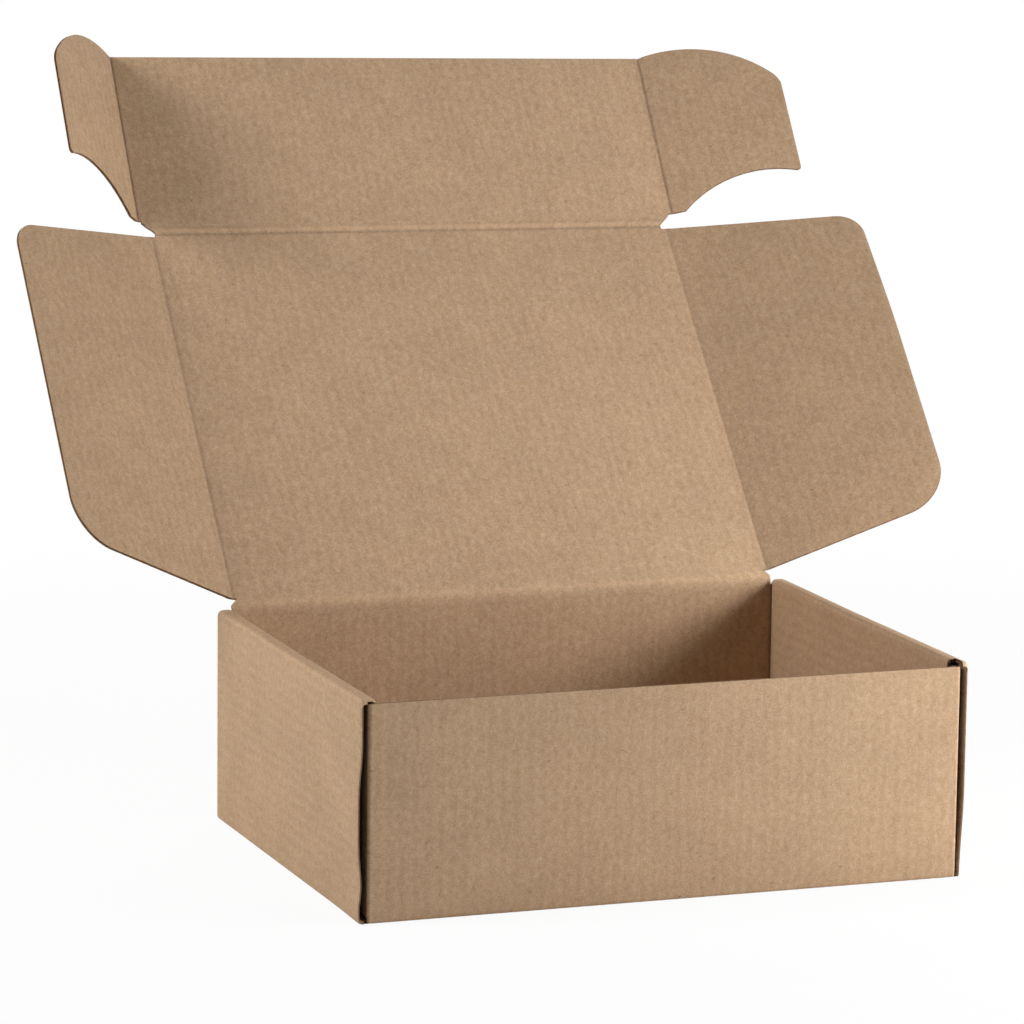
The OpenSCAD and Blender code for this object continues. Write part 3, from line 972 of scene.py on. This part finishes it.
class MAILER_OT_ears(Operator):
    """Rounded ears on the front flap"""
    bl_idname = "mailer.ears"
    bl_label = "Ears"

    def execute(self, context):
        board, flaps = context.scene.mailer_board, context.scene.mailer_flaps
        crease = context.scene.mailer_crease
        length = flaps.ear_length
        turns = np.sin(np.linspace(0.0, math.pi / 2, EAR_CORNER_POINTS))
        rounds = [*edge_marks(board, (length, -1)), *(length + flaps.ear_round * (turns - 1))]
        across = lines(crease.ear_reach, length, board.pitch / board.columns, rounds)
        bow_at = flaps.front_length - math.sqrt(flaps.bow_radius ** 2 - flaps.bow_out ** 2)
        high = bow_at + np.sqrt(flaps.bow_radius ** 2 - (across - flaps.bow_out) ** 2)
        notch_at = flaps.notch_depth - flaps.notch_radius
        reach = np.maximum(flaps.notch_radius ** 2 - (across - flaps.notch_out) ** 2, 0.0)
        low = np.maximum(notch_at + np.sqrt(reach), flaps.shoulder)
        trim = corner_drop(length - across, flaps.ear_round)
        low, high = low + trim, high - trim
        shares = row_shares(board, flaps.front_length, EAR_ROWS)
        for name, side in SIDES.items():
            plane = side_plane("ear_" + name + "_crease", side, FRONT_RUN, FRONT_IN)
            dip = flaps.ear_dip * eased(across / length) if side < 0 else 0.0
            top = high - dip
            points, out, run = panel_grid(plane, across, low, top, shares)
            edge = edge_distance(run, low, top, length - out)
            blank = Blank()
            points = warped(points, flaps.warp)
            blank.add(points, FRONT_HALF + out, run, plane.inside, None, crushed(board, edge))
            board_piece(context, "ear_panel_" + name, blank, "ear_" + name)
        return {"FINISHED"}


# Creases

Crease = namedtuple("Crease", ("axis", "to_parent", "to_child", "in_parent", "in_child", "reach", "flute",
                               "run", "relief", "dark", "light", "flare"))
Mark = namedtuple("Mark", "at width amount")
CREASE_POINTS, FLUTE_STATIONS = 33, 4
INSIDE_PAPER, OUTSIDE_PAPER, CUT_PAPER = 0, 1, 3
# Marks on a crease's inside face: dark marks are painted shade along the scores, with some darkening of the
# pressed score itself; pale marks are painted highlights on the folds' rounded sides
HINGE_HOLD, HINGE_PAINTED_HIGHLIGHT = 0.2, [Mark(1.6 * MM, 2.0 * MM, 0.7)]
BEAD, BEAD_FOOT = Mark(1.7 * MM, 1.6 * MM, 1.0), Mark(-1.2 * MM, 0.9 * MM, -0.5)
FRONT_PAINTED_SHADE, FRONT_PAINTED_HIGHLIGHT = [Mark(-1.1 * MM, 0.8 * MM, 0.7)], [Mark(1.8 * MM, 1.5 * MM, 0.6)]
SIDE_PAINTED_SHADE = {"left": [Mark(-0.5 * MM, 1.3 * MM, 0.55)], "right": [Mark(1.2 * MM, 2.0 * MM, 0.25)]}
SIDE_PAINTED_HIGHLIGHT = {"left": [], "right": [Mark(-1.6 * MM, 1.0 * MM, 0.4)]}
EAR_PAINTED_SHADE = [Mark(0.0, 0.9 * MM, 0.9)]


def marked(spread, marks):
    """Sum of soft marks at distances from a fold; the child's side counts as positive."""
    return sum((mark.amount * np.exp(-((spread - mark.at) / mark.width) ** 2) for mark in marks),
               np.zeros(spread.shape))


def crease_piece(context, name, crease):
    """Pressed strip of board across a fold, curved from the one panel's plane into the other's."""
    board, settings = context.scene.mailer_board, context.scene.mailer_crease
    reach = crease.reach + settings.margin
    t = np.linspace(0.0, 1.0, CREASE_POINTS)
    spread = reach * (2 * t - 1)
    middle_line = np.outer(reach * (1 - t) ** 2, crease.to_parent) + np.outer(reach * t ** 2, crease.to_child)
    normal = np.outer(1 - t, crease.in_parent) + np.outer(t, crease.in_child)
    normal = normal / np.linalg.norm(normal, axis=1)[:, None]
    half = board.thickness / 2
    relief = marked(spread, crease.relief)
    press = settings.outer * np.exp(-(spread / (2 * settings.groove_width)) ** 2)
    inner = half + relief
    outer = np.maximum(relief, 0.0) + press - half
    stations = len(crease.axis)
    base = crease.axis[:, None, :] + middle_line[None] + crease.flare(spread)
    inner_points = base + (normal * inner[:, None])[None]
    outer_points = base + (normal * outer[:, None])[None]
    points = np.concatenate([inner_points, outer_points[:, ::-1]], axis=1)
    points = warped(points, context.scene.mailer_flaps.warp)
    loop = points.shape[1]
    count = len(t)
    quads, paper = [], []
    for i in range(stations - 1):
        for k in range(loop):
            following = (k + 1) % loop
            quads.append((i * loop + k, i * loop + following, (i + 1) * loop + following, (i + 1) * loop + k))
            if k < count - 1:
                paper.append(INSIDE_PAPER)
            else:
                paper.append(OUTSIDE_PAPER if count <= k < loop - 1 else CUT_PAPER)
    for i, turned in ((0, True), (stations - 1, False)):
        for k in range(count - 1):
            cap = (i * loop + k, i * loop + k + 1, i * loop + loop - 2 - k, i * loop + loop - 1 - k)
            quads.append(cap[::-1] if turned else cap)
            paper.append(CUT_PAPER)
    mesh = bpy.data.meshes.new(name)
    mesh.from_pydata(points.reshape(-1, 3).tolist(), [], quads)
    for material in papers(context):
        mesh.materials.append(material)
    mesh.polygons.foreach_set("material_index", paper)
    both = np.concatenate([spread, spread[::-1]])
    front = np.concatenate([np.ones(count), np.zeros(count)])
    # The inside face takes the crease's painted shade and painted highlights
    values = {"flute": crease.flute(both), "run": crease.run(both), "layer": OUTSIDE_LAYER - front,
              "crease": front * marked(both, crease.dark), "wear": front * marked(both, crease.light)}
    store(mesh, {label: np.broadcast_to(value, (stations, loop)) for label, value in values.items()})
    outward = np.cross(points[1, 0] - points[0, 0], points[0, 1] - points[0, 0])
    if outward @ normal[0] < 0:
        mesh.flip_normals()
    mesh.update()
    piece = smooth_piece(context, name, mesh, CREASE_SMOOTH)
    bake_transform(piece)


class MAILER_OT_creases(Operator):
    """Pressed creases of the lid, its side flaps, its front flap and the ears"""
    bl_idname = "mailer.creases"
    bl_label = "Creases"

    def execute(self, context):
        board, flaps = context.scene.mailer_board, context.scene.mailer_flaps
        settings = context.scene.mailer_crease
        up, into = np.array([0.0, 0.0, 1.0]), np.array([0.0, -1.0, 0.0])
        root = LID_HALF - settings.side_reach + settings.margin
        across = lines(-root, root, board.pitch / FLUTE_STATIONS)
        column = across[:, None]
        outward = (column / root)[..., None] * ACROSS

        def hinge_flare(s):
            closing = eased(s / flaps.side_start - HINGE_HOLD)
            return outward * (settings.hinge_ends * (1 - closing))[:, None]

        hinge = Crease(on_plane(LID_PLANE, across, 0.0), -up, LID_RUN, into, LID_IN, settings.hinge_reach,
                       lambda s: column, lambda s: s[None, :], [], [], HINGE_PAINTED_HIGHLIGHT, hinge_flare)
        crease_piece(context, "lid_hinge_crease", hinge)
        bead = [mark._replace(amount=mark.amount * settings.bead) for mark in (BEAD, BEAD_FOOT)]
        spring = (FRONT_HALF - flaps.ear_gap - root) / flaps.shoulder
        front = Crease(on_plane(FRONT_PLANE, across, 0.0), -LID_RUN, FRONT_RUN, LID_IN, FRONT_IN,
                       settings.front_reach, lambda s: column, lambda s: LID_LENGTH + s[None, :], bead,
                       FRONT_PAINTED_SHADE, FRONT_PAINTED_HIGHLIGHT, lambda s: outward * spring * np.maximum(s, 0.0)[:, None])
        crease_piece(context, "front_flap_crease", front)
        side_run = lines(flaps.side_start, LID_LENGTH - flaps.side_end, PANEL_ROW)
        ear_run = lines(flaps.shoulder, flaps.front_length, EAR_ROW)
        slant = np.linspace(flaps.back_taper, -flaps.front_taper, len(side_run)) / flaps.side_width
        slanted = slant[:, None, None] * LID_RUN
        score = [Mark(0.0, settings.groove_width, -settings.side_groove)]
        ear_score = [Mark(0.0, settings.groove_width, -settings.ear_groove)]
        for name, side in SIDES.items():
            flap = "side_flap_" + name
            plane = side_plane(flap + "_crease", side, LID_RUN, LID_IN)
            strip = Crease(on_plane(plane, 0.0, side_run), -side * ACROSS, plane.out, LID_IN, plane.inside,
                           settings.side_reach, lambda s: LID_HALF + s[None, :],
                           lambda s: side_run[:, None], score, SIDE_PAINTED_SHADE[name], SIDE_PAINTED_HIGHLIGHT[name],
                           lambda s: slanted * np.maximum(s, 0.0)[:, None])
            crease_piece(context, flap + "_crease", strip)
            ear = "ear_" + name
            plane = side_plane(ear + "_crease", side, FRONT_RUN, FRONT_IN)
            strip = Crease(on_plane(plane, 0.0, ear_run), -side * ACROSS, plane.out, FRONT_IN, plane.inside,
                           settings.ear_reach, lambda s: FRONT_HALF + s[None, :],
                           lambda s: ear_run[:, None], ear_score, EAR_PAINTED_SHADE, [], lambda s: 0.0)
            crease_piece(context, ear + "_crease", strip)
        return {"FINISHED"}


# Stage, in metres

WHITE = (1.0, 1.0, 1.0, 1.0)
FLOOR_REACH, FLOOR_DROP = 40.0, 0.2 * MM
Lamp = namedtuple("Lamp", "setting place size")
LAMPS = (Lamp("key", (0.8, -0.4, 0.45), 0.3), Lamp("front", (0.45, -0.6, 0.25), 0.3),
         Lamp("low_right", (0.6, -0.1, 0.1), 0.3), Lamp("left", (-0.92, 0.1, 0.8), 0.3),
         Lamp("low_left", (-1.0, 0.1, 0.2), 0.4), Lamp("back", (0.6, 1.8, 0.8), 1.2))
LAMP_AIM = Vector((0.0, 0.0, 0.16))
SENSOR_WIDTH_MM, FAR_CLIP = 36.0, 200.0


def seen_directly(wire):
    """1 for rays from the camera, off gloss or through glass, and 0 for the rest."""
    rays = wire.node("ShaderNodeLightPath").outputs
    seen = wire.math("MAXIMUM", rays["Is Camera Ray"], rays["Is Glossy Ray"])
    return wire.math("MAXIMUM", seen, rays["Is Transmission Ray"])


def white_floor(stage):
    """Pale floor that the camera sees as nearly plain white, with the box's soft shadow."""
    material = bpy.data.materials.new("stage_floor")
    wire = fresh_wiring(material)
    paint = wire.node("ShaderNodeBsdfDiffuse", {"Color": (*stage.floor, 1.0)})
    white = wire.node("ShaderNodeEmission", {"Color": WHITE, "Strength": 1.0})
    seen = seen_directly(wire)
    place = wire.node("ShaderNodeTexCoord").outputs["Object"]
    away = wire.node("ShaderNodeVectorMath", {0: place}, operation="LENGTH").outputs["Value"]
    plain = wire.ramp(away, stage.floor_near, stage.floor_far)
    share = wire.plus(stage.floor_white, wire.times(plain, 1.0 - stage.floor_white))
    share = wire.times(seen, share)
    mixed = wire.node("ShaderNodeMixShader", {0: share, 1: paint.outputs[0], 2: white.outputs[0]})
    wire.node("ShaderNodeOutputMaterial", {"Surface": mixed.outputs[0]})
    return material


def white_world(stage):
    """Even studio light, seen as plain white by the camera."""
    world = bpy.data.worlds.new("stage_world")
    wire = fresh_wiring(world)
    light = wire.node("ShaderNodeBackground", {"Color": WHITE, "Strength": stage.sky})
    white = wire.node("ShaderNodeBackground", {"Color": WHITE, "Strength": 1.0})
    seen = seen_directly(wire)
    mixed = wire.node("ShaderNodeMixShader", {0: seen, 1: light.outputs[0], 2: white.outputs[0]})
    wire.node("ShaderNodeOutputWorld", {"Surface": mixed.outputs[0]})
    return world


def soft_lamp(context, lamp):
    """Square soft lamp aimed at the middle of the box."""
    name = "lamp_" + lamp.setting
    light = bpy.data.lights.new(name, "AREA")
    light.energy = getattr(context.scene.mailer_stage, lamp.setting)
    light.size = lamp.size
    turn = (LAMP_AIM - Vector(lamp.place)).to_track_quat("-Z", "Y").to_matrix().to_4x4()
    placed(context, name, light).matrix_world = Matrix.Translation(lamp.place) @ turn


class MAILER_OT_stage(Operator):
    """White floor, soft lamps and the camera"""
    bl_idname = "mailer.stage"
    bl_label = "Stage"

    def execute(self, context):
        stage = context.scene.mailer_stage
        mesh = bpy.data.meshes.new("floor")
        corners = ((-1, -1), (1, -1), (1, 1), (-1, 1))
        mesh.from_pydata([(x * FLOOR_REACH, y * FLOOR_REACH, -FLOOR_DROP) for x, y in corners], [],
                         [(0, 1, 2, 3)])
        mesh.materials.append(white_floor(stage))
        placed(context, "floor", mesh)
        context.scene.world = white_world(stage)
        for lamp in LAMPS:
            soft_lamp(context, lamp)
        lens = bpy.data.cameras.new("camera")
        lens.sensor_width = SENSOR_WIDTH_MM
        lens.lens = stage.lens
        lens.shift_x, lens.shift_y = stage.shift
        lens.clip_end = FAR_CLIP
        camera = placed(context, "camera", lens)
        camera.location = stage.camera_place
        camera.rotation_euler = Euler(stage.camera_turn, "XYZ")
        context.scene.camera = camera
        context.scene.view_settings.view_transform = "Standard"
        return {"FINISHED"}


# Sidebar, registration and the run

class MAILER_PT_sidebar(Panel):
    """Steps that make the box, in order, with their settings"""
    bl_idname = "MAILER_PT_sidebar"
    bl_label = "Kraft mailer box"
    bl_space_type = "VIEW_3D"
    bl_region_type = "UI"
    bl_category = "Mailer box"

    def draw(self, context):
        for step in STEPS:
            self.layout.operator(step.bl_idname)
        for label, group in SETTINGS.items():
            box = self.layout.box()
            box.label(text=group.__doc__)
            for name in group.__annotations__:
                box.prop(getattr(context.scene, label), name)


SETTINGS = {
    "mailer_board": MailerBoardSettings,
    "mailer_tray": MailerTraySettings,
    "mailer_flaps": MailerFlapSettings,
    "mailer_crease": MailerCreaseSettings,
    "mailer_paper": MailerPaperSettings,
    "mailer_stage": MailerStageSettings,
}
STEPS = (MAILER_OT_tray_walls, MAILER_OT_tray_sides, MAILER_OT_corner_flaps, MAILER_OT_lid,
         MAILER_OT_side_flaps, MAILER_OT_front_flap, MAILER_OT_ears, MAILER_OT_creases, MAILER_OT_stage)


def register():
    for item in (*SETTINGS.values(), *STEPS, MAILER_PT_sidebar):
        bpy.utils.register_class(item)
    for label, group in SETTINGS.items():
        setattr(bpy.types.Scene, label, PointerProperty(type=group))


def unregister():
    for label in SETTINGS:
        delattr(bpy.types.Scene, label)
    for item in reversed((*SETTINGS.values(), *STEPS, MAILER_PT_sidebar)):
        bpy.utils.unregister_class(item)


def main():
    register()
    bpy.ops.mailer.tray_walls()
    bpy.ops.mailer.tray_sides()
    bpy.ops.mailer.corner_flaps()
    bpy.ops.mailer.lid()
    bpy.ops.mailer.side_flaps()
    bpy.ops.mailer.front_flap()
    bpy.ops.mailer.ears()
    bpy.ops.mailer.creases()
    bpy.ops.mailer.stage()


if __name__ == "__main__":
    main()
